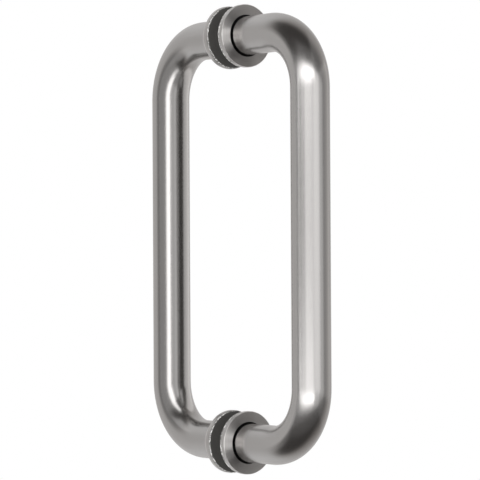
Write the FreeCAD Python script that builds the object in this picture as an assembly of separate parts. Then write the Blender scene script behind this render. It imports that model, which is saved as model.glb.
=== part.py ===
import FreeCAD, Part
import math
import os

# A pair of bent tube pulls clamped back to back through a glass shower door.
# The glass lies in the XZ plane, the grips run along Z and the legs along Y.
# The front pull is on the -Y side. The origin is midway between the two fixing axes,
# in the middle of the glass. Everything is in millimetres.

# Glass and drilling
GLASS_THICKNESS = 8.0
CENTRE_DISTANCE = 200.0

# Bent tube
TUBE_DIAMETER = 19.0
TUBE_WALL = 1.5
BEND_RADIUS = 28.5
LEG_STRAIGHT = 19.5
TUBE_END_ROUND = 0.7

# Washers and gaskets on both faces of the glass
WASHER_OVERHANG = 6.0
WASHER_THICKNESS = 2.5
WASHER_EDGE_BREAK = 0.35
RECESS_DEPTH = 1.2
RECESS_CLEARANCE = 0.6
GASKET_INSET = 0.2
GASKET_THICKNESS = 1.0
GASKET_EDGE_BREAK = 0.2

# Sleeve that lines the hole in the glass
SLEEVE_DIAMETER = 12.0
SLEEVE_EDGE_BREAK = 0.3
SLEEVE_END_GAP = 0.3
SLEEVE_SLACK = 1.0

# Threaded plug in each tube end
INSERT_TO_BEND = 2.5
SHOULDER_REVEAL = 0.5
SHOULDER_LIP = 0.7
BRAZE_GAP = 0.05
BORE_LEAD = 0.6

# Stud through the glass
STUD_DIAMETER = 8.0
STUD_ENGAGEMENT = 15.0
STUD_TAIL = 5.0
STUD_END_CHAMFER = 0.8
STUD_IN_SLEEVE = 0.2
STUD_IN_THREAD = 0.05
STUD_IN_SOCKET = 0.15

# Cone point set screw under each leg of the rear pull
SCREW_DIAMETER = 5.0
SCREW_FROM_TUBE_END = 7.0
SCREW_SUNK = 0.3
SCREW_IN_THREAD = 0.05
SCREW_TIP_DIAMETER = 1.0
SCREW_SEAT_DEPTH = 1.2
SCREW_SEAT_GAP = 0.05
SCREW_KEY_FLATS = 2.5
SCREW_KEY_DEPTH = 2.0

# Places measured along a leg, from the middle of the glass outwards
GLASS_FACE = GLASS_THICKNESS / 2
WASHER_BACK = GLASS_FACE + GASKET_THICKNESS
WASHER_FACE = WASHER_BACK + WASHER_THICKNESS
WASHER_SEAT = WASHER_FACE - RECESS_DEPTH
TUBE_END = WASHER_FACE + SHOULDER_REVEAL
BEND_START = TUBE_END + LEG_STRAIGHT
GRIP_AXIS = BEND_START + BEND_RADIUS
INSERT_END = BEND_START - INSERT_TO_BEND
SLEEVE_END = WASHER_SEAT - SLEEVE_END_GAP
SCREW_AXIS = TUBE_END + SCREW_FROM_TUBE_END
STUD_FRONT_END = WASHER_SEAT + STUD_ENGAGEMENT
STUD_REAR_END = SCREW_AXIS + SCREW_SEAT_DEPTH + STUD_TAIL

# Radii that follow from the sizes above
TUBE_RADIUS = TUBE_DIAMETER / 2
TUBE_BORE_RADIUS = TUBE_RADIUS - TUBE_WALL
SHOULDER_RADIUS = TUBE_BORE_RADIUS + SHOULDER_LIP
RECESS_RADIUS = TUBE_RADIUS + RECESS_CLEARANCE
WASHER_RADIUS = TUBE_RADIUS + WASHER_OVERHANG
GASKET_RADIUS = WASHER_RADIUS - GASKET_INSET
STUD_RADIUS = STUD_DIAMETER / 2
SLEEVE_RADIUS = SLEEVE_DIAMETER / 2
CLAMP_BORE_RADIUS = SLEEVE_RADIUS + SLEEVE_SLACK
SCREW_RADIUS = SCREW_DIAMETER / 2
SCREW_HOLE_RADIUS = SCREW_RADIUS + SCREW_IN_THREAD
SEAT_ROOT_RADIUS = STUD_RADIUS - SCREW_SEAT_DEPTH

HEIGHTS = {"upper": CENTRE_DISTANCE / 2, "lower": -CENTRE_DISTANCE / 2}
SIDES = {"front": -1, "rear": 1}
Y_AXIS = FreeCAD.Vector(0, 1, 0)
Z_AXIS = FreeCAD.Vector(0, 0, 1)
FULL_TURN = 360


def turned(outline, height, side=1):
    """Turn a closed outline of (radius, distance from mid glass) points about a fixing axis."""
    points = [FreeCAD.Vector(radius, side * distance, height) for radius, distance in outline]
    face = Part.Face(Part.makePolygon(points + points[:1]))
    solid = face.revolve(FreeCAD.Vector(0, 0, height), Y_AXIS, FULL_TURN)
    if solid.Volume < 0:
        solid.reverse()
    return solid


def on_centre_plane(y, z):
    """Point in the plane that both pulls are bent in."""
    return FreeCAD.Vector(0, y, z)


def pull_path(side):
    """Centreline of a pull: two legs, two quarter bends and the grip between them."""
    corner_cut = BEND_RADIUS * (1 - math.sqrt(0.5))
    leg_start = side * TUBE_END
    leg_end = side * BEND_START
    bend_middle = side * (GRIP_AXIS - corner_cut)
    grip = side * GRIP_AXIS
    leg_height = CENTRE_DISTANCE / 2
    bend_height = leg_height - corner_cut
    grip_height = leg_height - BEND_RADIUS
    upper_start = on_centre_plane(leg_start, leg_height)
    upper_leg_end = on_centre_plane(leg_end, leg_height)
    upper_bend = on_centre_plane(bend_middle, bend_height)
    grip_top = on_centre_plane(grip, grip_height)
    grip_foot = on_centre_plane(grip, -grip_height)
    lower_bend = on_centre_plane(bend_middle, -bend_height)
    lower_leg_end = on_centre_plane(leg_end, -leg_height)
    lower_start = on_centre_plane(leg_start, -leg_height)
    curves = [
        Part.LineSegment(upper_start, upper_leg_end),
        Part.Arc(upper_leg_end, upper_bend, grip_top),
        Part.LineSegment(grip_top, grip_foot),
        Part.Arc(grip_foot, lower_bend, lower_leg_end),
        Part.LineSegment(lower_leg_end, lower_start),
    ]
    return Part.Wire([curve.toShape() for curve in curves])


def rod(path, radius, side):
    """Round bar of one radius along a pull's centreline."""
    start = on_centre_plane(side * TUBE_END, CENTRE_DISTANCE / 2)
    ring = Part.Wire([Part.Circle(start, Y_AXIS, radius).toShape()])
    return path.makePipeShell([ring], True, False)


def screw_hole(height):
    """Cutter for the tapped hole from a rear leg's axis down through the tube wall."""
    start = on_centre_plane(SCREW_AXIS, height)
    return Part.makeCylinder(SCREW_HOLE_RADIUS, TUBE_DIAMETER, start, -Z_AXIS)


def is_end_rim(edge, side):
    """Whether an edge is the outer circle at the end of a leg."""
    if not isinstance(edge.Curve, Part.Circle):
        return False
    at_end = abs(edge.CenterOfMass.y - side * TUBE_END) < TUBE_WALL / 2
    return at_end and edge.Curve.Radius > TUBE_RADIUS - TUBE_WALL / 2


def pull(side, drilled):
    """Bent tube with rounded ends, drilled under both legs for set screws if asked."""
    path = pull_path(side)
    tube = rod(path, TUBE_RADIUS, side).cut(rod(path, TUBE_BORE_RADIUS, side))
    rims = [edge for edge in tube.Edges if is_end_rim(edge, side)]
    tube = tube.makeFillet(TUBE_END_ROUND, rims)
    if drilled:
        for height in HEIGHTS.values():
            tube = tube.cut(screw_hole(height))
    return tube.Solids[0]


def insert(side, height, bore_radius, drilled):
    """Plug brazed into a tube end, with a shoulder that bears on the washer's recess."""
    body = TUBE_BORE_RADIUS - BRAZE_GAP
    outline = [
        (bore_radius + BORE_LEAD, WASHER_SEAT),
        (SHOULDER_RADIUS, WASHER_SEAT),
        (SHOULDER_RADIUS, TUBE_END),
        (body, TUBE_END),
        (body, INSERT_END - BORE_LEAD),
        (body - BORE_LEAD, INSERT_END),
        (bore_radius, INSERT_END),
        (bore_radius, WASHER_SEAT + BORE_LEAD),
    ]
    plug = turned(outline, height, side)
    if drilled:
        plug = plug.cut(screw_hole(height)).Solids[0]
    return plug


def washer(side, height):
    """Flat metal washer with a recess for the tube end and both outer edges broken."""
    rim = WASHER_RADIUS - WASHER_EDGE_BREAK
    outline = [
        (CLAMP_BORE_RADIUS, WASHER_BACK),
        (rim, WASHER_BACK),
        (WASHER_RADIUS, WASHER_BACK + WASHER_EDGE_BREAK),
        (WASHER_RADIUS, WASHER_FACE - WASHER_EDGE_BREAK),
        (rim, WASHER_FACE),
        (RECESS_RADIUS, WASHER_FACE),
        (RECESS_RADIUS, WASHER_SEAT),
        (CLAMP_BORE_RADIUS, WASHER_SEAT),
    ]
    return turned(outline, height, side)


def gasket(side, height):
    """Thin vinyl ring between a washer and the glass."""
    rim = GASKET_RADIUS - GASKET_EDGE_BREAK
    outline = [
        (CLAMP_BORE_RADIUS, GLASS_FACE),
        (rim, GLASS_FACE),
        (GASKET_RADIUS, GLASS_FACE + GASKET_EDGE_BREAK),
        (GASKET_RADIUS, WASHER_BACK - GASKET_EDGE_BREAK),
        (rim, WASHER_BACK),
        (CLAMP_BORE_RADIUS, WASHER_BACK),
    ]
    return turned(outline, height, side)


def sleeve(height):
    """Plastic tube that keeps the stud off the glass."""
    bore = STUD_RADIUS + STUD_IN_SLEEVE
    outline = [
        (bore, -SLEEVE_END),
        (SLEEVE_RADIUS - SLEEVE_EDGE_BREAK, -SLEEVE_END),
        (SLEEVE_RADIUS, SLEEVE_EDGE_BREAK - SLEEVE_END),
        (SLEEVE_RADIUS, SLEEVE_END - SLEEVE_EDGE_BREAK),
        (SLEEVE_RADIUS - SLEEVE_EDGE_BREAK, SLEEVE_END),
        (bore, SLEEVE_END),
    ]
    return turned(outline, height)


def stud(height):
    """Stud screwed into the front plug, with a V groove for the set screw at its rear end."""
    tip = STUD_RADIUS - STUD_END_CHAMFER
    outline = [
        (0, -STUD_FRONT_END),
        (tip, -STUD_FRONT_END),
        (STUD_RADIUS, STUD_END_CHAMFER - STUD_FRONT_END),
        (STUD_RADIUS, SCREW_AXIS - SCREW_SEAT_DEPTH),
        (SEAT_ROOT_RADIUS, SCREW_AXIS),
        (STUD_RADIUS, SCREW_AXIS + SCREW_SEAT_DEPTH),
        (STUD_RADIUS, STUD_REAR_END - STUD_END_CHAMFER),
        (tip, STUD_REAR_END),
        (0, STUD_REAR_END),
    ]
    return turned(outline, height)


def hexagon_prism(flats, depth, base):
    """Hexagonal bar of a width across flats, rising along Z from its base centre."""
    corner = FreeCAD.Vector(flats / 3 ** 0.5, 0, 0)
    turn = FreeCAD.Rotation(Z_AXIS, FULL_TURN / 6)
    corners = []
    for _ in range(6):
        corners.append(base + corner)
        corner = turn.multVec(corner)
    return Part.Face(Part.makePolygon(corners + corners[:1])).extrude(Z_AXIS * depth)


def set_screw(height):
    """Set screw whose cone sits in the stud's groove, with a hexagon key socket below."""
    tip_radius = SCREW_TIP_DIAMETER / 2
    cone_apex = SEAT_ROOT_RADIUS + SCREW_SEAT_GAP
    foot = TUBE_RADIUS - SCREW_SUNK
    outline = [
        (0, -foot),
        (SCREW_RADIUS, -foot),
        (SCREW_RADIUS, -cone_apex - SCREW_RADIUS),
        (tip_radius, -cone_apex - tip_radius),
        (0, -cone_apex - tip_radius),
    ]
    points = [FreeCAD.Vector(radius, SCREW_AXIS, height + z) for radius, z in outline]
    face = Part.Face(Part.makePolygon(points + points[:1]))
    screw = face.revolve(FreeCAD.Vector(0, SCREW_AXIS, height), Z_AXIS, FULL_TURN)
    if screw.Volume < 0:
        screw.reverse()
    socket_base = FreeCAD.Vector(0, SCREW_AXIS, height - foot)
    socket = hexagon_prism(SCREW_KEY_FLATS, SCREW_KEY_DEPTH, socket_base)
    return screw.cut(socket).Solids[0]


def build():
    """All the pieces by name."""
    pieces = {}
    for side_name, side in SIDES.items():
        drilled = side_name == "rear"
        fit = STUD_IN_SOCKET if drilled else STUD_IN_THREAD
        pieces[f"{side_name}_pull"] = pull(side, drilled)
        for level, height in HEIGHTS.items():
            place = f"{side_name}_{level}"
            pieces[f"{place}_insert"] = insert(side, height, STUD_RADIUS + fit, drilled)
            pieces[f"{place}_washer"] = washer(side, height)
            pieces[f"{place}_gasket"] = gasket(side, height)
    for level, height in HEIGHTS.items():
        pieces[f"{level}_stud"] = stud(height)
        pieces[f"{level}_glass_sleeve"] = sleeve(height)
        pieces[f"{level}_set_screw"] = set_screw(height)
    return pieces


os.makedirs("parts", exist_ok=True)
for node, shape in build().items():
    shape.exportStep(f"parts/{node}.step")
    print(f"{node}: {shape.ShapeType}, {len(shape.Solids)} solid, {shape.Volume:.2f} mm3")
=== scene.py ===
"""A shower door handle: two bent tube pulls clamped back to back through a glass door.

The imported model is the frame. Y runs through the glass, Z along the grips, and the
origin is in the middle of the glass, midway between the two fixing axes.
"""

import logging
import math
from dataclasses import dataclass
from enum import Enum
from typing import Any, Sequence, Union

import bmesh
import bpy
from mathutils import Matrix, Vector


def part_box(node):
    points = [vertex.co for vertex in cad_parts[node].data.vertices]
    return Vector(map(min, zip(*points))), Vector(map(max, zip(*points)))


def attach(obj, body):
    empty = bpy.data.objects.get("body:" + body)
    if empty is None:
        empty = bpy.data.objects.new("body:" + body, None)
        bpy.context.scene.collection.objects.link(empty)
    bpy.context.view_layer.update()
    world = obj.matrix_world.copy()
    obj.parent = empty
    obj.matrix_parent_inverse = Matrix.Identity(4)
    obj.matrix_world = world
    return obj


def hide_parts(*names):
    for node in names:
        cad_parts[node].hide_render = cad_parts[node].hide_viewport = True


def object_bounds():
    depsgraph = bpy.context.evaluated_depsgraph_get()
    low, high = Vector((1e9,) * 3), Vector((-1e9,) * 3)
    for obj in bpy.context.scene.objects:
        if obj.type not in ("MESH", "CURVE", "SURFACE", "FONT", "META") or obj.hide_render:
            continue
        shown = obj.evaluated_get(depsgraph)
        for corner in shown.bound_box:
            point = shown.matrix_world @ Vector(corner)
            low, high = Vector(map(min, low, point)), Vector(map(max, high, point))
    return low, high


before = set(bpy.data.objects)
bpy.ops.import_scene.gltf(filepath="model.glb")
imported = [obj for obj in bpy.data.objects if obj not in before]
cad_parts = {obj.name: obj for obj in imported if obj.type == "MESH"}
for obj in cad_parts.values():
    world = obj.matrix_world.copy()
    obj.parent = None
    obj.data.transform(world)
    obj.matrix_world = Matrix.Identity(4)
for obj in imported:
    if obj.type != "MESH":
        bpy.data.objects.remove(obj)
CAD_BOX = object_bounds()

log = logging.getLogger("shower_door_handle")

MM = 0.001
BODY = "root"
GRAIN_MAP = "Grain"
KEY_ATTRIBUTE = "key_socket"
WELD = 0.002 * MM
RECESS_CLEARANCE = 0.6 * MM

MIX_FACTOR = 0
MIX_COLOURS = (6, 7)
MIX_RESULT = 2

Operand = Union["Value", float]
Colour = Union[tuple[float, float, float], bpy.types.NodeSocket]


class Side(Enum):
    """A face of the glass, with the sign of its direction along Y."""

    FRONT = -1
    REAR = 1

    @property
    def label(self) -> str:
        """Word that starts the names of this side's nodes."""
        return self.name.lower()


class Level(Enum):
    """One of the two fixings, with the sign of its height."""

    UPPER = 1
    LOWER = -1

    @property
    def label(self) -> str:
        """Word that the names of this fixing's nodes carry."""
        return self.name.lower()


class Slot(Enum):
    """A material slot of the record."""

    NICKEL = "satin_nickel"
    STEEL = "stainless_steel"
    PLUG = "plug_steel"
    VINYL = "gasket_vinyl"
    PLASTIC = "sleeve_plastic"


class Value:
    """A number that flows through a node tree, written with Python's own operators."""

    def __init__(self, board: "NodeBoard", socket: bpy.types.NodeSocket) -> None:
        """Wrap an output socket of a node on a board."""
        self.board = board
        self.socket = socket

    def __add__(self, other: Operand) -> "Value":
        """Sum."""
        return self.board.math("ADD", self, other)

    def __radd__(self, other: Operand) -> "Value":
        """Sum with a number on the left."""
        return self.board.math("ADD", other, self)

    def __sub__(self, other: Operand) -> "Value":
        """Difference."""
        return self.board.math("SUBTRACT", self, other)

    def __rsub__(self, other: Operand) -> "Value":
        """Difference from a number on the left."""
        return self.board.math("SUBTRACT", other, self)

    def __mul__(self, other: Operand) -> "Value":
        """Product."""
        return self.board.math("MULTIPLY", self, other)

    def __rmul__(self, other: Operand) -> "Value":
        """Product with a number on the left."""
        return self.board.math("MULTIPLY", other, self)

    def __truediv__(self, other: Operand) -> "Value":
        """Quotient."""
        return self.board.math("DIVIDE", self, other)

    def __rtruediv__(self, other: Operand) -> "Value":
        """Quotient of a number on the left."""
        return self.board.math("DIVIDE", other, self)

    def __mod__(self, other: Operand) -> "Value":
        """Remainder, which is never negative."""
        return self.board.math("FLOORED_MODULO", self, other)

    def __rmod__(self, other: Operand) -> "Value":
        """Remainder of a number on the left."""
        return self.board.math("FLOORED_MODULO", other, self)

    def __gt__(self, other: Operand) -> "Value":
        """One where this is the greater, and zero elsewhere."""
        return self.board.math("GREATER_THAN", self, other)

    def __lt__(self, other: Operand) -> "Value":
        """One where this is the smaller, and zero elsewhere."""
        return self.board.math("LESS_THAN", self, other)


class NodeBoard:
    """A node tree that is written as calls and expressions."""

    def __init__(self, tree: bpy.types.NodeTree) -> None:
        """Start from a tree with nothing in it."""
        self.tree = tree
        self.tree.nodes.clear()

    def feed(self, socket: bpy.types.NodeSocket, value: Any) -> None:
        """Link a value or another node's socket to an input, or set the input.

        Args:
            socket: the input to feed.
            value: a Value or an output socket to link, or a constant to set.
        """
        if isinstance(value, Value):
            self.tree.links.new(value.socket, socket)
        elif isinstance(value, bpy.types.NodeSocket):
            self.tree.links.new(value, socket)
        else:
            socket.default_value = value

    def add(
        self,
        kind: str,
        settings: dict[str, Any] | None = None,
        sockets: dict[str | int, Any] | None = None,
    ) -> bpy.types.Node:
        """Add a node of any kind.

        Args:
            kind: the node's type.
            settings: the node's own properties, which are set first.
            sockets: values or links for its inputs, by name or by place.

        Returns:
            The new node.
        """
        node = self.tree.nodes.new(kind)
        for name, setting in (settings or {}).items():
            setattr(node, name, setting)
        for key, value in (sockets or {}).items():
            self.feed(node.inputs[key], value)
        return node

    def value(self, node: bpy.types.Node, output: str | int = 0) -> Value:
        """Wrap a node's output as a number."""
        return Value(self, node.outputs[output])

    def math(self, operation: str, *operands: Operand) -> Value:
        """Add one Math node and return its result."""
        places = dict(enumerate(operands))
        return self.value(self.add("ShaderNodeMath", {"operation": operation}, places))

    def limit(self, number: Operand, low: float = 0.0, high: float = 1.0) -> Value:
        """Keep a number between two bounds."""
        return self.math("MINIMUM", self.math("MAXIMUM", number, low), high)

    def split(self, vector: bpy.types.NodeSocket) -> tuple[Value, Value, Value]:
        """Take a vector apart into three numbers."""
        parts = self.add("ShaderNodeSeparateXYZ", None, {"Vector": vector})
        return self.value(parts, "X"), self.value(parts, "Y"), self.value(parts, "Z")

    def join(self, x: Operand, y: Operand, z: Operand) -> bpy.types.NodeSocket:
        """Put three numbers together as a vector."""
        return self.add("ShaderNodeCombineXYZ", None, {"X": x, "Y": y, "Z": z}).outputs[0]

    def vector(self, operation: str, *operands: Any) -> bpy.types.NodeSocket:
        """Add one Vector Math node and return its vector."""
        places = dict(enumerate(operands))
        return self.add("ShaderNodeVectorMath", {"operation": operation}, places).outputs["Vector"]

    def dot(self, vector: bpy.types.NodeSocket, other: Any) -> Value:
        """Scalar product of two vectors."""
        settings = {"operation": "DOT_PRODUCT"}
        return self.value(self.add("ShaderNodeVectorMath", settings, {0: vector, 1: other}), "Value")

    def scaled(self, vector: bpy.types.NodeSocket, factor: Operand) -> bpy.types.NodeSocket:
        """Multiply a vector by a number."""
        node = self.add("ShaderNodeVectorMath", {"operation": "SCALE"}, {0: vector, "Scale": factor})
        return node.outputs["Vector"]

    def noise(
        self,
        vector: bpy.types.NodeSocket,
        scale: float,
        detail: float = 2.0,
        dimensions: str = "3D",
    ) -> Value:
        """Add a noise texture and return its grey level, about 0.5 on average."""
        settings = {"noise_dimensions": dimensions}
        sockets = {"Vector": vector, "Scale": scale, "Detail": detail}
        return self.value(self.add("ShaderNodeTexNoise", settings, sockets), 0)

    def mixed(self, factor: Operand, first: Colour, second: Colour) -> bpy.types.NodeSocket:
        """Blend two colours, each given as linear red, green and blue or as a socket.

        Args:
            factor: share of the second colour, from 0 to 1.
            first: colour at 0.
            second: colour at 1.

        Returns:
            The colour socket.
        """
        sockets: dict[str | int, Any] = {MIX_FACTOR: factor}
        for place, colour in zip(MIX_COLOURS, (first, second)):
            sockets[place] = (*colour, 1.0) if isinstance(colour, tuple) else colour
        return self.add("ShaderNodeMix", {"data_type": "RGBA"}, sockets).outputs[MIX_RESULT]


class Surface(NodeBoard):
    """The node tree of one material, around a single shader."""

    def __init__(self, name: str) -> None:
        """Start a material of that name."""
        self.material = bpy.data.materials.new(name)
        self.material.use_nodes = True
        super().__init__(self.material.node_tree)
        self.object_point = self.add("ShaderNodeTexCoord").outputs["Object"]

    def axis_distance(self, axis_height: float) -> Value:
        """Distance from the nearer of the two fixing axes."""
        x, _, z = self.split(self.object_point)
        height = self.math("ABSOLUTE", z) - axis_height
        return self.math("SQRT", x * x + height * height)

    def glass_distance(self) -> Value:
        """Distance from the middle of the glass."""
        _, y, _ = self.split(self.object_point)
        return self.math("ABSOLUTE", y)

    def bump(self, height: Value, strength: float, distance: float) -> bpy.types.NodeSocket:
        """Turn a height into a shading normal."""
        sockets = {"Height": height, "Strength": strength, "Distance": distance}
        return self.add("ShaderNodeBump", None, sockets).outputs["Normal"]

    def finish(self, sockets: dict[str | int, Any]) -> bpy.types.Material:
        """Add the shader with its inputs and close the tree.

        Args:
            sockets: inputs of the shader.

        Returns:
            The material.
        """
        shader = self.add("ShaderNodeBsdfPrincipled", None, sockets)
        self.add("ShaderNodeOutputMaterial", None, {"Surface": shader.outputs[0]})
        return self.material


@dataclass(frozen=True)
class SatinTube:
    """Nickel plate rubbed lengthwise along a bent tube, with a painted reflection that lightens it near
    its ends.

    Attributes:
        end_distance: distance of the tube's ends from the middle of the glass.
    """

    end_distance: float
    name: str = "satin_nickel_tube"
    slot: Slot = Slot.NICKEL
    dark: tuple[float, float, float] = (0.3745, 0.365, 0.3588)
    light: tuple[float, float, float] = (0.4, 0.39, 0.3834)
    # Painted reflection: the lighter colour of the band next to each tube end.
    painted_reflection: tuple[float, float, float] = (0.61, 0.5955, 0.585)
    reflection_length: float = 5.5 * MM
    reflection_fade: float = 3.2 * MM
    roughness: float = 0.235
    roughness_swing: float = 0.05
    scratch_length: float = 6.0 * MM
    scratch_width: float = 0.12 * MM
    scratch_share: float = 0.4
    cloud_size: float = 14.0 * MM
    bump_strength: float = 0.2
    bump_depth: float = 0.003 * MM

    def make(self) -> bpy.types.Material:
        """Build the material."""
        board = Surface(self.name)
        grain = board.add("ShaderNodeUVMap", {"uv_map": GRAIN_MAP}).outputs["UV"]
        along, around, _ = board.split(grain)
        lines = board.join(along / self.scratch_length, around / self.scratch_width, 0.0)
        scratches = board.noise(lines, 1.0, detail=3.0, dimensions="2D")
        clouds = board.noise(board.object_point, 1.0 / self.cloud_size)
        tone = clouds * (1.0 - self.scratch_share) + scratches * self.scratch_share
        plate = board.mixed(board.limit(tone), self.dark, self.light)
        # Painted reflection: the band next to each end takes the lighter colour and fades into the plate
        # further out.
        past_reflection = board.glass_distance() - self.end_distance - self.reflection_length
        return board.finish({
            "Base Color": board.mixed(board.limit(past_reflection / self.reflection_fade), self.painted_reflection, plate),
            "Metallic": 1.0,
            "Roughness": self.roughness + (scratches - 0.5) * self.roughness_swing,
            "Normal": board.bump(scratches, self.bump_strength, self.bump_depth),
        })


@dataclass(frozen=True)
class TurnedDisc:
    """Nickel plate over the fine rings of a lathe tool, with painted shade in the recess and a painted
    highlight along the outer edge.

    Attributes:
        axis_height: height of the upper fixing axis.
        recess_radius: radius of the recess round the tube.
        rim_radius: outer radius of a washer.
        face_distance: distance of its outer face from the middle of the glass.
    """

    axis_height: float
    recess_radius: float
    rim_radius: float
    face_distance: float
    name: str = "turned_nickel_disc"
    slot: Slot = Slot.NICKEL
    # Painted shade: near-black colour of the recess round the tube end, which reaches a little onto the
    # face.
    recess: tuple[float, float, float] = (0.012, 0.012, 0.012)
    # Painted highlight: bright colour in patches along the outer edge of the face.
    painted_edge_highlight: tuple[float, float, float] = (0.9, 0.885, 0.87)
    dark: tuple[float, float, float] = (0.34, 0.33, 0.323)
    light: tuple[float, float, float] = (0.504, 0.489, 0.479)
    roughness: float = 0.32
    roughness_swing: float = 0.1
    recess_roughness: float = 0.4
    # How sharp the edge of the painted shade is, and how far it reaches onto the face past the recess.
    painted_shade_fade: float = 0.08 * MM
    painted_shade_overhang: float = 0.18 * MM
    # Width of the painted highlight along the edge, the size of its patches, and their threshold and
    # contrast.
    highlight_width: float = 0.45 * MM
    highlight_patch: float = 2.0 * MM
    wear_level: float = 0.16
    highlight_contrast: float = 2.5
    band_width: float = 0.5 * MM
    ring_pitch: float = 0.2 * MM
    bump_strength: float = 1.0
    bump_depth: float = 0.34 * MM

    def make(self) -> bpy.types.Material:
        """Build the material, with rings about both fixing axes."""
        board = Surface(self.name)
        radius = board.axis_distance(self.axis_height)
        band_point = board.join(radius / self.band_width, 0.0, 0.0)
        bands = board.noise(band_point, 1.0, dimensions="2D")
        across_ring = (radius / self.ring_pitch) % 1.0 - 0.5
        # Zero in the recess and just past its edge, where the shade is painted near black.
        face = board.limit((radius - self.recess_radius - self.painted_shade_overhang) / self.painted_shade_fade)
        plate = board.mixed(board.limit(bands), self.dark, self.light)
        # Painted highlight along the outer edge of the face.
        highlighted_plate = board.mixed(self._wear(board, radius), plate, self.painted_edge_highlight)
        roughness = self.roughness + (bands - 0.5) * self.roughness_swing
        return board.finish({
            "Base Color": board.mixed(face, self.recess, highlighted_plate),
            "Metallic": 1.0,
            "Roughness": roughness + (1.0 - face) * self.recess_roughness,
            "Normal": board.bump(across_ring * across_ring, self.bump_strength, self.bump_depth),
        })

    def _wear(self, board: Surface, radius: Value) -> Value:
        """Share of painted highlight in patches along the outer edge of the face.

        Args:
            board: the material's node tree.
            radius: distance from the nearer fixing axis.

        Returns:
            Up to one on the edge, and zero beyond the width of the painted highlight.
        """
        past_face = board.glass_distance() - self.face_distance
        near_rim = board.limit((radius - self.rim_radius) / self.highlight_width + 1.0)
        near_face = board.limit(past_face / self.highlight_width + 1.0)
        patches = board.noise(board.object_point, 1.0 / self.highlight_patch)
        return near_rim * near_face * board.limit((patches - self.wear_level) * self.highlight_contrast)


@dataclass(frozen=True)
class GasketVinyl:
    """Dark soft vinyl, pebbled on its faces, with painted glints in patches along a rim that is painted
    lighter than the faces.

    Attributes:
        axis_height: height of the upper fixing axis.
        rim_radius: outer radius of the ring.
    """

    axis_height: float
    rim_radius: float
    name: str = "gasket_vinyl"
    slot: Slot = Slot.VINYL
    dark: tuple[float, float, float] = (0.042, 0.04, 0.038)
    light: tuple[float, float, float] = (0.068, 0.066, 0.062)
    # Painted highlight: the rim's lighter colour and the near-white painted glints on it.
    painted_rim_sheen: tuple[float, float, float] = (0.1, 0.098, 0.094)
    painted_glint: tuple[float, float, float] = (0.82, 0.81, 0.79)
    roughness: float = 0.42
    roughness_swing: float = 0.2
    pebble: float = 0.35 * MM
    # Size, threshold and contrast of the patches of painted glints.
    tear: float = 0.7 * MM
    tear_level: float = 0.47
    tear_contrast: float = 7.0
    rim_depth: float = 0.34 * MM
    rim_fade: float = 0.17 * MM
    bump_strength: float = 0.3
    bump_depth: float = 0.03 * MM

    def make(self) -> bpy.types.Material:
        """Build the material, with the painted glints at the rim of each ring."""
        board = Surface(self.name)
        pebbles = board.noise(board.object_point, 1.0 / self.pebble, detail=3.0)
        # Painted glints: noise patches that take the near-white colour along the rim.
        glint_noise = board.noise(board.object_point, 1.0 / self.tear)
        glint_share = board.limit((glint_noise - self.tear_level) * self.tear_contrast)
        face = board.mixed(board.limit(pebbles), self.dark, self.light)
        edge = board.mixed(glint_share, self.painted_rim_sheen, self.painted_glint)
        inside = self.rim_radius - self.rim_depth
        rim = board.limit((board.axis_distance(self.axis_height) - inside) / self.rim_fade)
        return board.finish({
            "Base Color": board.mixed(rim, face, edge),
            "Roughness": self.roughness + (pebbles - 0.5) * self.roughness_swing,
            "Normal": board.bump(pebbles, self.bump_strength, self.bump_depth),
        })


@dataclass(frozen=True)
class SleeveNylon:
    """Natural nylon, slightly milky."""

    name: str = "sleeve_nylon"
    slot: Slot = Slot.PLASTIC
    dark: tuple[float, float, float] = (0.66, 0.65, 0.6)
    light: tuple[float, float, float] = (0.78, 0.77, 0.73)
    roughness: float = 0.38
    roughness_swing: float = 0.15
    cloud_size: float = 2.5 * MM
    bump_strength: float = 0.1
    bump_depth: float = 0.02 * MM

    def make(self) -> bpy.types.Material:
        """Build the material."""
        board = Surface(self.name)
        clouds = board.noise(board.object_point, 1.0 / self.cloud_size, detail=4.0)
        return board.finish({
            "Base Color": board.mixed(board.limit(clouds), self.dark, self.light),
            "Roughness": self.roughness + (clouds - 0.5) * self.roughness_swing,
            "Normal": board.bump(clouds, self.bump_strength, self.bump_depth),
        })


@dataclass(frozen=True)
class MachinedMetal:
    """Turned metal, used for the plugs, which are painted near black as shade in the gap round each tube
    end, and for the bright fasteners.
    """

    name: str
    slot: Slot
    dark: tuple[float, float, float]
    light: tuple[float, float, float]
    roughness: float
    roughness_swing: float = 0.15
    mark_width: float = 0.3 * MM
    mark_length: float = 5.0 * MM
    bump_strength: float = 0.2
    bump_depth: float = 0.01 * MM

    def make(self) -> bpy.types.Material:
        """Build the material, with tool marks across the turning axis."""
        board = Surface(self.name)
        x, y, z = board.split(board.object_point)
        mark_point = board.join(x / self.mark_length, y / self.mark_width, z / self.mark_length)
        marks = board.noise(mark_point, 1.0, detail=3.0)
        return board.finish({
            "Base Color": board.mixed(board.limit(marks), self.dark, self.light),
            "Metallic": 1.0,
            "Roughness": self.roughness + (marks - 0.5) * self.roughness_swing,
            "Normal": board.bump(marks, self.bump_strength, self.bump_depth),
        })


Finish = Union[SatinTube, TurnedDisc, GasketVinyl, SleeveNylon, MachinedMetal]

# Painted shade: the plugs are near black so that the gap round each tube end stays dark.
PLUG_STEEL = MachinedMetal("black_plug_steel", Slot.PLUG, (0.012, 0.012, 0.013), (0.03, 0.03, 0.03), 0.5)
FASTENER_STEEL = MachinedMetal("fastener_steel", Slot.STEEL, (0.46, 0.46, 0.46), (0.6, 0.6, 0.59), 0.3)


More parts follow.
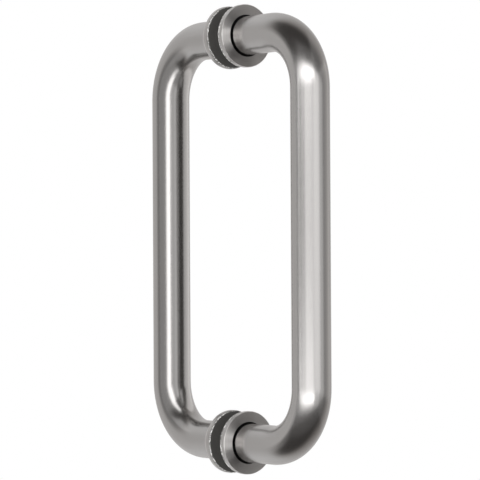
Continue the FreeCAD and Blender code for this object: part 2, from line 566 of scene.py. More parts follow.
@dataclass(frozen=True)
class Corner:
    """A corner of a piece's outline, in its half section.

    Attributes:
        along: distance along the axis or the path.
        radius: distance from it.
        rounding: radius that the corner is rounded to.
        key: whether the corner is on the wall of a hexagon key socket.
    """

    along: float
    radius: float
    rounding: float = 0.0
    key: bool = False

    @property
    def point(self) -> Vector:
        """The corner in the plane of the outline."""
        return Vector((self.along, self.radius))


@dataclass(frozen=True)
class Outline:
    """A half section that is turned about an axis or swept along a path.

    Attributes:
        corners: its corners in order.
        closed: whether it comes back to its start without meeting the axis.
        step: longest edge that is left along a straight run.
        arc_steps: edges in each rounded corner.
        hold: length of the short edge that keeps a flat flat beside a rounded corner.
    """

    corners: Sequence[Corner]
    closed: bool = True
    step: float = 1.0
    arc_steps: int = 5
    hold: float = 0.06 * MM

    def _corner_points(self, place: int) -> list[Vector]:
        """Points of one corner, which is an arc where it is rounded."""
        corner = self.corners[place]
        inner_end = not self.closed and place in (0, len(self.corners) - 1)
        if corner.rounding == 0.0 or inner_end:
            return [corner.point]
        before = (self.corners[place - 1].point - corner.point).normalized()
        after = (self.corners[(place + 1) % len(self.corners)].point - corner.point).normalized()
        half = before.angle(after) / 2
        reach = corner.rounding / math.tan(half)
        centre = corner.point + (before + after).normalized() * corner.rounding / math.sin(half)
        first = corner.point + before * reach - centre
        swing = first.angle_signed(corner.point + after * reach - centre)
        points = [corner.point + before * (reach + self.hold)]
        for number in range(self.arc_steps + 1):
            turn = Matrix.Rotation(-swing * number / self.arc_steps, 2)
            points.append(centre + turn @ first)
        points.append(corner.point + after * (reach + self.hold))
        return points

    def points(self) -> tuple[list[Vector], list[bool]]:
        """All points of the outline in order, and which of them are on a key socket.

        Returns:
            The points, and a flag for each.
        """
        points: list[Vector] = []
        keys: list[bool] = []
        for place, corner in enumerate(self.corners):
            for point in self._corner_points(place):
                points.append(point)
                keys.append(corner.key)
        dense: list[Vector] = []
        flags: list[bool] = []
        runs = len(points) if self.closed else len(points) - 1
        for place in range(runs):
            start = points[place]
            end = points[(place + 1) % len(points)]
            cuts = max(1, math.ceil((end - start).length / self.step))
            for cut in range(cuts):
                dense.append(start.lerp(end, cut / cuts))
                flags.append(keys[place] and (cut == 0 or keys[(place + 1) % len(points)]))
        if not self.closed:
            dense.append(points[-1])
            flags.append(keys[-1])
        return dense, flags

    def mesh(self, name: str) -> bpy.types.Mesh:
        """Lay the outline out as loose points for a node tree.

        Args:
            name: name of the mesh.

        Returns:
            A mesh whose X is the distance along and whose Y is the radius.
        """
        points, keys = self.points()
        mesh = bpy.data.meshes.new(name)
        mesh.from_pydata([(point.x, point.y, 0.0) for point in points], [], [])
        flags = mesh.attributes.new(KEY_ATTRIBUTE, "FLOAT", "POINT")
        flags.data.foreach_set("value", [float(key) for key in keys])
        return mesh


class ShapeTree(NodeBoard):
    """A Geometry Nodes tree that grows a closed piece from an outline."""

    def __init__(self, name: str, sizes: Sequence[str], counts: Sequence[str]) -> None:
        """Start a tree with named inputs.

        Args:
            name: name of the tree.
            sizes: names of its inputs that are lengths.
            counts: names of its inputs that are whole numbers.
        """
        super().__init__(bpy.data.node_groups.new(name, "GeometryNodeTree"))
        face = self.tree.interface
        face.new_socket("Outline", in_out="INPUT", socket_type="NodeSocketGeometry")
        for size in sizes:
            face.new_socket(size, in_out="INPUT", socket_type="NodeSocketFloat")
        for count in counts:
            face.new_socket(count, in_out="INPUT", socket_type="NodeSocketInt")
        face.new_socket("Material", in_out="INPUT", socket_type="NodeSocketMaterial")
        face.new_socket("Piece", in_out="OUTPUT", socket_type="NodeSocketGeometry")
        self.inputs = self.add("NodeGroupInput")

    def size(self, name: str) -> Value:
        """A named input as a number."""
        return self.value(self.inputs, name)

    def grid(self) -> tuple[bpy.types.NodeSocket, Value, Value]:
        """Add a sheet with a column for each outline point and a row for each facet.

        Returns:
            The sheet, and the outline point and the share of a full turn at each vertex.
        """
        facets = self.size("Facets")
        outline = {"Geometry": self.inputs.outputs["Outline"]}
        counted = self.add("GeometryNodeAttributeDomainSize", {"component": "MESH"}, outline)
        points = self.value(counted, "Point Count")
        sheet = self.add("GeometryNodeMeshGrid", None, {
            "Vertices X": points + self.size("Closed"),
            "Vertices Y": facets + 1.0,
        })
        index = self.value(self.add("GeometryNodeInputIndex"))
        column = self.math("FLOOR", (index + 0.5) / (facets + 1.0))
        row = index - column * (facets + 1.0)
        return sheet.outputs["Mesh"], column % points, row / facets

    def sampled(self, kind: str, field: bpy.types.NodeSocket, place: Value) -> bpy.types.NodeSocket:
        """Read a field of the outline at one of its points.

        Args:
            kind: data type of the field.
            field: what to read.
            place: number of the point.

        Returns:
            What is read there.
        """
        sockets = {"Geometry": self.inputs.outputs["Outline"], "Value": field, "Index": place}
        return self.add("GeometryNodeSampleIndex", {"data_type": kind}, sockets).outputs["Value"]

    def outline_point(self, place: Value) -> tuple[Value, Value]:
        """Distance along and radius of one of the outline's points."""
        position = self.add("GeometryNodeInputPosition").outputs[0]
        along, radius, _ = self.split(self.sampled("FLOAT_VECTOR", position, place))
        return along, radius

    def close(
        self,
        sheet: bpy.types.NodeSocket,
        position: bpy.types.NodeSocket,
        grain: bpy.types.NodeSocket,
    ) -> None:
        """Wrap the sheet, keep its grain as a UV map, weld its seams and end the tree.

        Args:
            sheet: the sheet to wrap.
            position: where each of its vertices goes.
            grain: distances along and around the piece.
        """
        kept = self.add("GeometryNodeCaptureAttribute")
        kept.capture_items.new("VECTOR", GRAIN_MAP)
        self.feed(kept.inputs["Geometry"], sheet)
        self.feed(kept.inputs[GRAIN_MAP], grain)
        wrapped = self.add("GeometryNodeSetPosition", None, {
            "Geometry": kept.outputs["Geometry"], "Position": position,
        })
        mapped = self.add(
            "GeometryNodeStoreNamedAttribute",
            {"data_type": "FLOAT2", "domain": "CORNER"},
            {"Geometry": wrapped.outputs[0], "Name": GRAIN_MAP, "Value": kept.outputs[GRAIN_MAP]},
        )
        welded = self.add("GeometryNodeMergeByDistance", None, {
            "Geometry": mapped.outputs[0], "Distance": WELD,
        })
        real = self.add("GeometryNodeRealizeInstances", None, {"Geometry": welded.outputs[0]})
        dressed = self.add("GeometryNodeSetMaterial", None, {
            "Geometry": real.outputs[0], "Material": self.inputs.outputs["Material"],
        })
        self.add("NodeGroupOutput", None, {"Piece": dressed.outputs[0]})

    def grow(self, name: str, outline: Outline, values: dict[str, Any]) -> bpy.types.Object:
        """Run the tree on an outline and keep the result as a plain mesh.

        Args:
            name: name of the new piece.
            outline: the half section to start from.
            values: the tree's inputs by name.

        Returns:
            The piece, with no modifier on it.
        """
        start = outline.mesh(name + "_outline")
        piece = bpy.data.objects.new(name, start)
        bpy.context.scene.collection.objects.link(piece)
        modifier = piece.modifiers.new(self.tree.name, "NODES")
        modifier.node_group = self.tree
        given = {**values, "Closed": int(outline.closed)}
        for item in self.tree.interface.items_tree:
            if item.in_out == "INPUT" and item.name in given:
                modifier[item.identifier] = given[item.name]
        evaluated = piece.evaluated_get(bpy.context.evaluated_depsgraph_get())
        grown = bpy.data.meshes.new_from_object(evaluated)
        piece.modifiers.remove(modifier)
        piece.data = grown
        grown.name = name
        bpy.data.meshes.remove(start)
        return piece


class LatheTree(ShapeTree):
    """Turns an outline about the Y axis, with a thread and a key socket where it has them."""

    THREAD_SIZES = ("Thread Pitch", "Thread Depth", "Thread Start", "Thread End")
    CREST_FLAT = 0.125
    ROOT_FLAT = 0.25

    def __init__(self) -> None:
        """Build the tree."""
        super().__init__("TurnedPiece", self.THREAD_SIZES, ("Facets", "Closed"))
        sheet, place, share = self.grid()
        along, radius = self.outline_point(place)
        turn = share * math.tau
        radius = self._keyed(radius - self._groove(along, share), place, turn)
        across = radius * self.math("COSINE", turn)
        upward = radius * self.math("SINE", turn)
        grain = self.join(along, turn * radius, 0.0)
        self.close(sheet, self.join(across, along, upward), grain)

    def _groove(self, along: Value, share: Value) -> Value:
        """Depth of a thread's groove below the outline.

        Args:
            along: distance along the axis.
            share: share of a full turn.

        Returns:
            The depth, which is zero outside the threaded run.
        """
        climb = self.math("FRACT", along / self.size("Thread Pitch") + share)
        flank = 1.0 - self.CREST_FLAT - self.ROOT_FLAT
        slope = self.math("ABSOLUTE", climb * 2.0 - 1.0)
        cut = self.limit((slope - self.CREST_FLAT) / flank)
        inside = (along > self.size("Thread Start")) * (along < self.size("Thread End"))
        return cut * inside * self.size("Thread Depth")

    def _keyed(self, radius: Value, place: Value, turn: Value) -> Value:
        """Stretch the points of a key socket from a circle to the hexagon round it.

        Args:
            radius: radius of the circle inside the hexagon.
            place: number of the outline point.
            turn: angle about the axis.

        Returns:
            The radius of the hexagon there.
        """
        flag = {"Name": KEY_ATTRIBUTE}
        named = self.add("GeometryNodeInputNamedAttribute", {"data_type": "FLOAT"}, flag)
        key = Value(self, self.sampled("FLOAT", named.outputs[0], place))
        sector = math.tau / 6
        off_flat = turn % sector - sector / 2
        return radius * (1.0 + key * (1.0 / self.math("COSINE", off_flat) - 1.0))


class SweepTree(ShapeTree):
    """Sweeps an outline along the C of a pull: a leg, a bend, the grip, a bend and a leg."""

    SIZES = ("Leg Start", "Grip Axis", "Leg Height", "Bend Radius")
    BEND_STEPS = 64
    PATH_POINTS = 4

    def __init__(self) -> None:
        """Build the tree."""
        super().__init__("BentTube", self.SIZES, ("Facets", "Closed"))
        sheet, place, share = self.grid()
        along, radius = self.outline_point(place)
        turn = share * math.tau
        path = self.add("GeometryNodeSampleCurve", {"mode": "LENGTH"}, {
            "Curves": self._path(), "Length": along,
        })
        sideways = self.join(1.0, 0.0, 0.0)
        outward = self.vector("CROSS_PRODUCT", path.outputs["Tangent"], sideways)
        across = self.scaled(sideways, radius * self.math("COSINE", turn))
        out = self.scaled(outward, radius * self.math("SINE", turn))
        offset = self.vector("ADD", across, out)
        position = self.vector("ADD", path.outputs["Position"], offset)
        self.close(sheet, position, self.join(along, turn * radius, 0.0))

    def _path(self) -> bpy.types.NodeSocket:
        """Centreline of the pull as a polyline with rounded corners."""
        # Points 0 and 3 are the ends of the legs, and 1 and 2 the corners beside the grip.
        index = self.value(self.add("GeometryNodeInputIndex"))
        leg = self.size("Leg Start")
        height = self.size("Leg Height")
        on_grip = (index > 0.5) * (index < 2.5)
        depth = leg + (self.size("Grip Axis") - leg) * on_grip
        level = height * (1.0 - (index > 1.5) * 2.0)
        points = self.add("GeometryNodePoints", None, {"Count": self.PATH_POINTS})
        placed = self.add("GeometryNodeSetPosition", None, {
            "Geometry": points.outputs[0], "Position": self.join(0.0, depth, level),
        })
        line = self.add("GeometryNodePointsToCurves", None, {"Points": placed.outputs[0]})
        rounded = self.add("GeometryNodeFilletCurve", {"mode": "POLY"}, {
            "Curve": line.outputs[0], "Count": self.BEND_STEPS, "Radius": self.size("Bend Radius"),
        })
        return rounded.outputs[0]


@dataclass(frozen=True)
class Extent:
    """The box of a CAD node, read along a leg and across it."""

    low: Vector
    high: Vector

    @classmethod
    def of(cls, node: str) -> "Extent":
        """Read a node's box from the frame."""
        low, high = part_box(node)
        return cls(Vector(low), Vector(high))

    @property
    def radius(self) -> float:
        """Half the width across the door."""
        return (self.high.x - self.low.x) / 2

    @property
    def height(self) -> float:
        """Height of its middle."""
        return (self.high.z + self.low.z) / 2

    @property
    def near(self) -> float:
        """Distance of its nearer end from the middle of the glass."""
        return min(abs(self.low.y), abs(self.high.y))

    @property
    def far(self) -> float:
        """Distance of its further end from the middle of the glass."""
        return max(abs(self.low.y), abs(self.high.y))


class Workshop:
    """The trees and finishes that every piece is made with."""

    SHARP_ANGLE = math.radians(32)

    def __init__(self, tube: Extent, washer: Extent, gasket: Extent) -> None:
        """Build the shared trees and materials.

        Args:
            tube: extent of a pull.
            washer: extent of an upper washer.
            gasket: extent of an upper gasket.
        """
        axis_height = tube.high.z - tube.radius
        self.recess_radius = tube.radius + RECESS_CLEARANCE
        self.lathe = LatheTree()
        self.sweep = SweepTree()
        self.tube = SatinTube(tube.near)
        self.disc = TurnedDisc(axis_height, self.recess_radius, washer.radius, washer.far)
        self.vinyl = GasketVinyl(axis_height, gasket.radius)
        self.nylon = SleeveNylon()
        finishes = (self.tube, self.disc, self.vinyl, self.nylon, PLUG_STEEL, FASTENER_STEEL)
        self.materials = {finish.name: finish.make() for finish in finishes}

    def place(self, piece: bpy.types.Object, slot: Slot, nodes: Sequence[str], move: Matrix) -> None:
        """Finish a piece's mesh, put it in its place and hand it to the frame.

        Args:
            piece: the piece.
            slot: the record's material slot.
            nodes: the CAD nodes that it stands for.
            move: its place in the frame.
        """
        mesh = piece.data
        mesh.transform(move)
        shell = bmesh.new()
        shell.from_mesh(mesh)
        bmesh.ops.recalc_face_normals(shell, faces=shell.faces)
        shell.to_mesh(mesh)
        shell.free()
        mesh.shade_smooth()
        mesh.set_sharp_from_angle(angle=self.SHARP_ANGLE)
        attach(piece, BODY)
        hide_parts(*nodes)
        log.info("%s: %d faces, %s", piece.name, len(mesh.polygons), slot.value)

    def turned(
        self,
        node: str,
        outline: Outline,
        finish: Finish,
        move: Matrix,
        facets: int = 128,
        thread: dict[str, float] | None = None,
    ) -> bpy.types.Object:
        """Turn a piece on the lathe tree in place of a CAD node.

        Args:
            node: the CAD node that it stands for.
            outline: its half section.
            finish: its finish.
            move: its place in the frame.
            facets: flats round it.
            thread: sizes of its thread, if it has one.

        Returns:
            The piece.
        """
        values = {"Facets": facets, "Material": self.materials[finish.name], "Thread Pitch": 1.0}
        values.update(thread or {})
        piece = self.lathe.grow(node + "_turned", outline, values)
        self.place(piece, finish.slot, [node], move)
        return piece

    def dress(self, node: str, finish: Finish) -> bpy.types.Object:
        """Give a CAD node that stays its material.

        Args:
            node: name of the node.
            finish: its finish.

        Returns:
            The node's object.
        """
        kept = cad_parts[node]
        kept.data.materials.clear()
        kept.data.materials.append(self.materials[finish.name])
        log.info("%s: kept, %s", node, finish.slot.value)
        return kept


@dataclass
class Pull:
    """One bent tube, with a hole under each leg if it is the clamped one."""

    side: Side
    workshop: Workshop
    bend_turns: float = 1.5
    wall: float = 1.5 * MM
    end_round: float = 0.7 * MM
    ring_step: float = 1.5 * MM
    facets: int = 96
    screw_clearance: float = 0.05 * MM
    hole_facets: int = 48

    def build(self) -> bpy.types.Object:
        """Sweep the tube, drill it where a set screw enters and place it.

        Returns:
            The pull.
        """
        node = f"{self.side.label}_pull"
        tube = Extent.of(node)
        radius = tube.radius
        bend = self.bend_turns * radius * 2
        leg_height = tube.high.z - radius
        grip_axis = tube.far - radius
        straight = grip_axis - bend - tube.near
        length = 2 * straight + math.pi * bend + 2 * (leg_height - bend)
        outline = Outline(
            [
                Corner(0.0, radius - self.wall),
                Corner(0.0, radius, self.end_round),
                Corner(length, radius, self.end_round),
                Corner(length, radius - self.wall),
            ],
            step=self.ring_step,
        )
        piece = self.workshop.sweep.grow(node + "_tube", outline, {
            "Leg Start": self.side.value * tube.near,
            "Grip Axis": self.side.value * grip_axis,
            "Leg Height": leg_height,
            "Bend Radius": bend,
            "Facets": self.facets,
            "Material": self.workshop.materials[self.workshop.tube.name],
        })
        if self.side is Side.REAR:
            for level in Level:
                self._drill(piece, level)
        self.workshop.place(piece, self.workshop.tube.slot, [node], Matrix.Identity(4))
        return piece

    def _drill(self, piece: bpy.types.Object, level: Level) -> None:
        """Cut the hole for a set screw through the underside of a leg.

        Args:
            piece: the tube.
            level: which leg.
        """
        screw = Extent.of(f"{level.label}_set_screw")
        axis = (screw.low + screw.high) / 2
        cutter_mesh = bpy.data.meshes.new("drill")
        cutter = bmesh.new()
        bmesh.ops.create_cone(
            cutter,
            cap_ends=True,
            segments=self.hole_facets,
            radius1=screw.radius + self.screw_clearance,
            radius2=screw.radius + self.screw_clearance,
            depth=(screw.high.z - screw.low.z) * 2,
            matrix=Matrix.Translation((axis.x, axis.y, screw.low.z)),
        )
        cutter.to_mesh(cutter_mesh)
        cutter.free()
        drill = bpy.data.objects.new("drill", cutter_mesh)
        bpy.context.scene.collection.objects.link(drill)
        cut = piece.modifiers.new("drill", "BOOLEAN")
        cut.operation = "DIFFERENCE"
        cut.solver = "EXACT"
        cut.object = drill
        evaluated = piece.evaluated_get(bpy.context.evaluated_depsgraph_get())
        drilled = bpy.data.meshes.new_from_object(evaluated)
        piece.modifiers.remove(cut)
        old = piece.data
        piece.data = drilled
        bpy.data.meshes.remove(old)
        bpy.data.objects.remove(drill)
        bpy.data.meshes.remove(cutter_mesh)


@dataclass
class EndStack:
    """What a tube end bears on at one fixing: plug, washer and gasket."""

    side: Side
    level: Level
    workshop: Workshop
    recess_depth: float = 1.2 * MM
    clamp_bore: float = 7.0 * MM
    washer_round: float = 0.35 * MM
    recess_round: float = 0.12 * MM
    gasket_round: float = 0.25 * MM

    @property
    def prefix(self) -> str:
        """Start of this stack's node names."""
        return f"{self.side.label}_{self.level.label}"

    def build(self) -> list[bpy.types.Object]:
        """Turn the washer and the gasket, and dress the plug.

        Returns:
            The three pieces.
        """
        plug = self.workshop.dress(f"{self.prefix}_insert", PLUG_STEEL)
        return [self._washer(), self._gasket(), plug]

    def _corner(self, distance: float, radius: float, rounding: float = 0.0) -> Corner:
        """A corner at a distance from the middle of the glass on this side."""
        return Corner(self.side.value * distance, radius, rounding)

    def _washer(self) -> bpy.types.Object:
        """Turn the washer with its recess."""
        node = f"{self.prefix}_washer"
        box = Extent.of(node)
        recess = self.workshop.recess_radius
        seat = box.far - self.recess_depth
        outline = Outline([
            self._corner(box.near, self.clamp_bore, self.recess_round),
            self._corner(box.near, box.radius, self.washer_round),
            self._corner(box.far, box.radius, self.washer_round),
            self._corner(box.far, recess, self.recess_round),
            self._corner(seat, recess),
            self._corner(seat, self.clamp_bore, self.recess_round),
        ])
        move = Matrix.Translation((0.0, 0.0, box.height))
        return self.workshop.turned(node, outline, self.workshop.disc, move)

    def _gasket(self) -> bpy.types.Object:
        """Turn the gasket with its soft edges."""
        node = f"{self.prefix}_gasket"
        box = Extent.of(node)
        outline = Outline([
            self._corner(box.near, self.clamp_bore),
            self._corner(box.near, box.radius, self.gasket_round),
            self._corner(box.far, box.radius, self.gasket_round),
            self._corner(box.far, self.clamp_bore),
        ])
        move = Matrix.Translation((0.0, 0.0, box.height))
        return self.workshop.turned(node, outline, self.workshop.vinyl, move)


@dataclass
class GlassFixing:
    """What goes through one hole of the glass: stud, sleeve and set screw."""

    level: Level
    workshop: Workshop
    stud_chamfer: float = 0.8 * MM
    stud_pitch: float = 1.25 * MM
    seat_depth: float = 1.2 * MM
    thread_to_washer: float = 1.0 * MM
    sleeve_wall: float = 1.8 * MM
    sleeve_round: float = 0.3 * MM
    screw_pitch: float = 0.8 * MM
    tip_radius: float = 0.5 * MM
    key_flats: float = 2.5 * MM
    key_depth: float = 2.0 * MM
    key_lead: float = 0.2 * MM
    thread_steps: int = 10
    depth_of_pitch: float = 0.6
    fastener_facets: int = 48
    sleeve_facets: int = 96

    def build(self) -> list[bpy.types.Object]:
        """Turn the three pieces.

        Returns:
            The stud, the sleeve and the set screw.
        """
        return [self._stud(), self._sleeve(), self._set_screw()]

    def _stud(self) -> bpy.types.Object:
        """Turn the stud, threaded at the front and grooved at the rear for the set screw."""
        node = f"{self.level.label}_stud"
        box = Extent.of(node)
        screw = Extent.of(f"{self.level.label}_set_screw")
        plug = Extent.of(f"front_{self.level.label}_insert")
        seat = (screw.low.y + screw.high.y) / 2
        tip = box.radius - self.stud_chamfer
        outline = Outline(
            [
                Corner(box.low.y, 0.0),
                Corner(box.low.y, tip),
                Corner(box.low.y + self.stud_chamfer, box.radius),
                Corner(seat - self.seat_depth, box.radius),
                Corner(seat, box.radius - self.seat_depth),
                Corner(seat + self.seat_depth, box.radius),
                Corner(box.high.y - self.stud_chamfer, box.radius),
                Corner(box.high.y, tip),
                Corner(box.high.y, 0.0),
            ],
            closed=False,
            step=self.stud_pitch / self.thread_steps,
        )
        thread = {
            "Thread Pitch": self.stud_pitch,
            "Thread Depth": self.stud_pitch * self.depth_of_pitch,
            "Thread Start": box.low.y + self.stud_chamfer,
            "Thread End": -plug.near + self.thread_to_washer,
        }
        move = Matrix.Translation((0.0, 0.0, box.height))
        return self.workshop.turned(node, outline, FASTENER_STEEL, move, self.fastener_facets, thread)

    def _sleeve(self) -> bpy.types.Object:
        """Turn the plastic sleeve that lines the hole."""
        node = f"{self.level.label}_glass_sleeve"
        box = Extent.of(node)
        bore = box.radius - self.sleeve_wall
        outline = Outline([
            Corner(box.low.y, bore),
            Corner(box.low.y, box.radius, self.sleeve_round),
            Corner(box.high.y, box.radius, self.sleeve_round),
            Corner(box.high.y, bore),
        ])
        move = Matrix.Translation((0.0, 0.0, box.height))
        return self.workshop.turned(node, outline, self.workshop.nylon, move, self.sleeve_facets)

    def _set_screw(self) -> bpy.types.Object:
        """Turn the cone point set screw with its key socket, and stand it under the leg."""
        node = f"{self.level.label}_set_screw"
        box = Extent.of(node)
        length = box.high.z - box.low.z
        shoulder = length - (box.radius - self.tip_radius)
        key = self.key_flats / 2
        outline = Outline(
            [
                Corner(self.key_depth, 0.0),
                Corner(self.key_depth, key, key=True),
                Corner(self.key_lead, key, key=True),
                Corner(0.0, key * 2 / math.sqrt(3) + self.key_lead),
                Corner(0.0, box.radius - self.key_lead),
                Corner(self.key_lead, box.radius),
                Corner(shoulder, box.radius),
                Corner(length, self.tip_radius),
                Corner(length, 0.0),
            ],
            closed=False,
            step=self.screw_pitch / self.thread_steps,
        )
        thread = {
            "Thread Pitch": self.screw_pitch,
            "Thread Depth": self.screw_pitch * self.depth_of_pitch,
            "Thread Start": self.key_lead,
            "Thread End": shoulder,
        }
        axis = (box.low + box.high) / 2
        upright = Matrix.Rotation(math.pi / 2, 4, "X")
        move = Matrix.Translation((axis.x, axis.y, box.low.z)) @ upright
        return self.workshop.turned(node, outline, FASTENER_STEEL, move, self.fastener_facets, thread)


@dataclass(frozen=True)
class Eye:
    """The photographer's place, worked out from the photograph's outline.

    Attributes:
        azimuth: direction that it looks from, in degrees.
        elevation: height above the horizon, in degrees.
        roll: turn about the line of sight, in degrees.
        distance: distance from the origin.
        lens: focal length for a sensor of the usual width.
        slide: sideways shift of the camera.
        lift: upward shift of the camera.
        clip: nearest and furthest distance that it sees.
    """

    azimuth: float = -37.85
    elevation: float = -0.588
    roll: float = -0.3
    distance: float = 1.1887
    lens: float = 180.6
    slide: float = 0.7 * MM
    lift: float = -0.35 * MM
    clip: tuple[float, float] = (0.01, 50.0)

    @property
    def back(self) -> Vector:
        """Unit vector from the handle towards the camera."""
        turn = math.radians(self.azimuth)
        rise = math.radians(self.elevation)
        flat = math.cos(rise)
        return Vector((math.sin(turn) * flat, -math.cos(turn) * flat, math.sin(rise)))

    @property
    def right(self) -> Vector:
        """Unit vector to the picture's right, before the roll."""
        turn = math.radians(self.azimuth)
        return Vector((math.cos(turn), math.sin(turn), 0.0))

    @property
    def up(self) -> Vector:
        """Unit vector to the picture's top, before the roll."""
        return self.back.cross(self.right)

    @property
    def level(self) -> Vector:
        """Level unit vector from the handle towards the camera."""
        return Vector((self.back.x, self.back.y, 0.0)).normalized()

    def point(self, across: float, upward: float, towards: float) -> Vector:
        """A point of the studio, measured from the handle as the camera sees it.

        Args:
            across: distance to the right.
            upward: distance up.
            towards: distance towards the camera.

        Returns:
            The point in the frame.
        """
        return self.right * across + Vector((0.0, 0.0, upward)) + self.level * towards

    def camera(self) -> bpy.types.Object:
        """Make the camera and set it as the scene's own.

        Returns:
            The camera.
        """
        data = bpy.data.cameras.new("photo_camera")
        data.lens = self.lens
        data.clip_start, data.clip_end = self.clip
        camera = bpy.data.objects.new("photo_camera", data)
        bpy.context.scene.collection.objects.link(camera)
        axes = Matrix((self.right, self.up, self.back)).transposed().to_4x4()
        tilt = Matrix.Rotation(math.radians(self.roll), 4, "Z")
        place = self.back * self.distance + self.right * self.slide + self.up * self.lift
        camera.matrix_world = Matrix.Translation(place) @ axes @ tilt
        bpy.context.scene.camera = camera
        return camera


@dataclass(frozen=True)
class Softbox:
    """A rectangular lamp that lights the pieces on one side of the glass.

    Attributes:
        name: name of the lamp.
        middle: its place right of, above and in front of the handle, as the camera sees it.
        size: its width and height.
        brightness: what a white card shows where the lamp fills its view.
        side: the side that it lights.
        yaw: turn about the upright axis from facing away from the camera, in degrees.
    """

    name: str
    middle: tuple[float, float, float]
    size: tuple[float, float]
    brightness: float
    side: Side
    yaw: float = 0.0

    def hang(self, eye: Eye, receivers: Sequence[bpy.types.Object]) -> bpy.types.Object:
        """Make the lamp.

        Args:
            eye: the camera's place.
            receivers: the objects that it lights.

        Returns:
            The lamp.
        """
        width, height = self.size
        data = bpy.data.lights.new(self.name, "AREA")
        data.shape = "RECTANGLE"
        data.size = width
        data.size_y = height
        data.energy = self.brightness * math.pi * width * height
        lamp = bpy.data.objects.new(self.name, data)
        bpy.context.scene.collection.objects.link(lamp)
        axes = Matrix((eye.right, Vector((0.0, 0.0, 1.0)), eye.level)).transposed().to_4x4()
        turn = Matrix.Rotation(math.radians(self.yaw), 4, "Y")
        lamp.matrix_world = Matrix.Translation(eye.point(*self.middle)) @ axes @ turn
        lamp.visible_camera = False
        lit = bpy.data.collections.new(self.name + "_lit")
        for piece in receivers:
            lit.objects.link(piece)
        lamp.light_linking.receiver_collection = lit
        return lamp


@dataclass(frozen=True)
class DarkZone:
    """A part of the room that is hung with dark cloth, with a soft edge.

    Attributes:
        azimuth: direction of its middle from the handle, right of the camera, in degrees.
        elevation: height of its middle above the horizon, in degrees.
        inner: angles from its middle within which it is fully dark, at its left and right, in degrees.
        outer: angles from its middle beyond which the room is white, at its left and right, in degrees.
        shade: what is left of the white in its middle.
    """

    azimuth: float
    elevation: float
    inner: tuple[float, float]
    outer: tuple[float, float]
    shade: float

    def dim(self, board: NodeBoard, direction: bpy.types.NodeSocket, eye: Eye) -> Value:
        """Share of the white that is left in each direction.

        Args:
            board: the room's node tree.
            direction: the direction looked in.
            eye: the camera's place.

        Returns:
            One outside the zone, falling to the shade inside it.
        """
        turn = math.radians(self.azimuth)
        rise = math.radians(self.elevation)
        flat = math.cos(rise)
        middle = eye.point(math.sin(turn) * flat, math.sin(rise), math.cos(turn) * flat)
        across = eye.point(math.cos(turn), 0.0, -math.sin(turn))
        facing = board.dot(direction, middle)
        lean = board.limit(board.dot(direction, across) + 0.5)
        edge = self._between(self.outer, lean)
        full = self._between(self.inner, lean)
        share = board.limit((facing - edge) / (full - edge))
        smooth = share * share * (3.0 - 2.0 * share)
        return 1.0 - smooth * (1.0 - self.shade)

    @staticmethod
    def _between(angles: tuple[float, float], lean: Value) -> Value:
        """Cosine of an angle that runs from its left value to its right one."""
        left, right = (math.cos(math.radians(angle)) for angle in angles)
        return left + lean * (right - left)


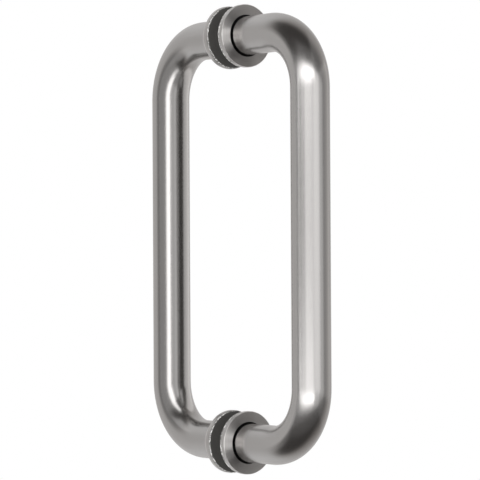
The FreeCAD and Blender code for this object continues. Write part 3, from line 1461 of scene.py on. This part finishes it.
@dataclass
class Studio:
    """The white room, its floor, its lamps and the camera."""

    eye: Eye
    floor_drop: float = 0.22
    floor_radius: float = 2.4
    floor_facets: int = 96
    floor_fade: tuple[float, float] = (0.5, 1.6)
    floor_colour: float = 0.82
    room_light: float = 0.55
    room_colour: tuple[float, float, float] = (1.0, 1.0, 1.0)
    cloth_colour: tuple[float, float, float] = (1.0, 0.91, 0.85)

    def softboxes(self) -> list[Softbox]:
        """The lamps: long banks and panels for the front pull, and tall panels for the rear one."""
        front = Side.FRONT
        rear = Side.REAR
        return [
            Softbox("upper_bank", (-2.85, 0.645, 1.35), (7.2, 0.4), 2.5, front),
            Softbox("upper_core", (-0.765, 0.4, 1.34), (1.95, 0.31), 1.65, front),
            Softbox("lower_bank", (-2.6, -0.43, 1.35), (6.0, 0.275), 3.7, front),
            Softbox("lower_core", (-0.75, -0.21, 1.34), (2.0, 0.21), 1.0, front),
            Softbox("front_panel", (-1.0, 0.0, 1.37), (11.0, 1.72), 0.48, front),
            Softbox("camera_fill", (0.385, 0.26, 1.36), (2.45, 1.13), 0.75, front),
            Softbox("low_fill", (0.865, -0.56, 1.355), (0.73, 0.6), 0.35, front),
            Softbox("high_glow", (0.0, 1.55, 1.39), (3.0, 1.4), 0.13, front),
            Softbox("low_glow", (0.0, -1.7, 1.38), (11.0, 1.5), 0.065, front),
            Softbox("right_panel", (1.6, 0.2, 1.9), (6.3, 1.2), 0.38, front, yaw=90.0),
            Softbox("right_glow", (1.65, 1.95, 1.9), (6.3, 2.6), 0.18, front, yaw=90.0),
            Softbox("right_sill", (1.65, -0.85, 1.9), (6.3, 0.9), 0.14, front, yaw=90.0),
            Softbox("left_screen", (-2.2, 0.0, 0.137), (0.825, 1.3), 0.38, front, yaw=-90.0),
            Softbox("left_glow", (-2.25, -0.275, 0.06), (0.68, 2.95), 0.17, front, yaw=-90.0),
            Softbox("tall_strip", (-0.458, 1.125, 1.2), (0.566, 4.95), 2.7, rear),
            Softbox("strip_foot", (-0.62, -2.175, 1.2), (0.6, 1.65), 1.6, rear),
            Softbox("strip_side", (-0.1, 0.6, 1.2), (0.15, 0.8), 2.0, rear),
            Softbox("inner_strip", (1.165, 0.09, 1.19), (0.25, 1.98), 0.7, rear),
            Softbox("inner_line", (0.62, 0.09, 1.19), (0.3, 1.98), 0.25, rear),
            Softbox("left_panel", (-2.9, -0.9, 1.22), (4.3, 4.6), 0.42, rear),
            Softbox("centre_panel", (0.235, 0.19, 1.21), (1.25, 1.78), 0.73, rear),
            Softbox("centre_foot", (0.355, -2.95, 1.21), (1.49, 4.5), 0.37, rear),
            Softbox("high_panel", (1.65, 2.33, 1.23), (1.9, 3.15), 0.56, rear),
            Softbox("low_panel", (2.05, -2.75, 1.235), (1.9, 2.7), 0.32, rear),
            Softbox("far_right_panel", (1.6, -2.71, -0.93), (2.3, 5.98), 0.69, rear, yaw=90.0),
            Softbox("high_right_panel", (1.6, 2.29, -1.1), (2.0, 4.02), 0.69, rear, yaw=90.0),
            Softbox("far_left_panel", (-2.2, 0.4, 0.15), (0.9, 7.0), 0.25, rear, yaw=-90.0),
            Softbox("high_left_panel", (-2.15, 1.7, 0.0), (1.2, 1.6), 0.45, rear, yaw=-90.0),
            Softbox("low_left_panel", (-2.25, -1.7, 0.0), (1.2, 1.8), 0.2, rear, yaw=-90.0),
        ]

    def dark_zones(self) -> list[DarkZone]:
        """The dark cloth behind the camera, and grey ones far at the right and at the left."""
        return [
            DarkZone(15.0, 1.2, (105.0, 60.0), (118.0, 148.0), 0.065),
            DarkZone(150.0, 0.0, (34.0, 34.0), (80.0, 80.0), 0.78),
            DarkZone(-128.0, 0.0, (8.0, 8.0), (42.0, 42.0), 0.8),
        ]

    def build(self, pieces: dict[Side, list[bpy.types.Object]]) -> None:
        """Set up everything round the handle.

        Args:
            pieces: the objects on each side of the glass.
        """
        self._world()
        floor = self._floor()
        receivers = {Side.FRONT: [*pieces[Side.FRONT], floor], Side.REAR: pieces[Side.REAR]}
        for box in self.softboxes():
            box.hang(self.eye, receivers[box.side])
        self.eye.camera()
        bpy.context.scene.view_settings.view_transform = "Standard"

    def _world(self) -> None:
        """White room to look at and to reflect, with a softer light on what it shines on."""
        world = bpy.data.worlds.new("white_room")
        world.use_nodes = True
        bpy.context.scene.world = world
        board = NodeBoard(world.node_tree)
        path = board.add("ShaderNodeLightPath")
        seen = board.value(path, "Is Camera Ray") + board.value(path, "Is Glossy Ray")
        seen = board.limit(seen + board.value(path, "Is Transmission Ray"))
        direction = board.add("ShaderNodeTexCoord").outputs["Generated"]
        cloth: Operand = 1.0
        for zone in self.dark_zones():
            cloth = cloth * zone.dim(board, direction, self.eye)
        mirrored = board.value(path, "Is Glossy Ray")
        white = 1.0 - mirrored * (1.0 - cloth)
        room = board.add("ShaderNodeBackground", None, {
            "Color": board.mixed(white, self.cloth_colour, self.room_colour),
            "Strength": seen * white + (1.0 - seen) * self.room_light,
        })
        board.add("ShaderNodeOutputWorld", None, {"Surface": room.outputs[0]})

    def _floor(self) -> bpy.types.Object:
        """Pale floor that fades into the white of the room.

        Returns:
            The floor.
        """
        mesh = bpy.data.meshes.new("pale_floor")
        disc = bmesh.new()
        bmesh.ops.create_circle(disc, cap_ends=True, segments=self.floor_facets, radius=self.floor_radius)
        disc.to_mesh(mesh)
        disc.free()
        mesh.transform(Matrix.Translation((0.0, 0.0, CAD_BOX[0].z - self.floor_drop)))
        board = Surface("pale_floor")
        x, y, _ = board.split(board.object_point)
        start, end = self.floor_fade
        fade = board.limit((board.math("SQRT", x * x + y * y) - start) / (end - start))
        tone = self.floor_colour
        paper = board.add("ShaderNodeBsdfDiffuse", None, {"Color": (tone, tone, tone, 1.0)})
        clear = board.add("ShaderNodeBsdfTransparent")
        mixed = board.add("ShaderNodeMixShader", None, {
            0: fade, 1: paper.outputs[0], 2: clear.outputs[0],
        })
        board.add("ShaderNodeOutputMaterial", None, {"Surface": mixed.outputs[0]})
        mesh.materials.append(board.material)
        floor = bpy.data.objects.new("pale_floor", mesh)
        bpy.context.scene.collection.objects.link(floor)
        floor.visible_glossy = False
        floor.visible_shadow = False
        return floor


def main() -> None:
    """Build the handle, its finishes and the studio, in that order."""
    logging.basicConfig(level=logging.INFO, format="%(name)s: %(message)s")
    nodes = ("front_pull", "front_upper_washer", "front_upper_gasket")
    workshop = Workshop(*(Extent.of(node) for node in nodes))
    pieces: dict[Side, list[bpy.types.Object]] = {side: [] for side in Side}
    for side in Side:
        pieces[side].append(Pull(side, workshop).build())
        for level in Level:
            pieces[side].extend(EndStack(side, level, workshop).build())
    for level in Level:
        pieces[Side.REAR].extend(GlassFixing(level, workshop).build())
    Studio(Eye()).build(pieces)


if __name__ == "__main__":
    main()
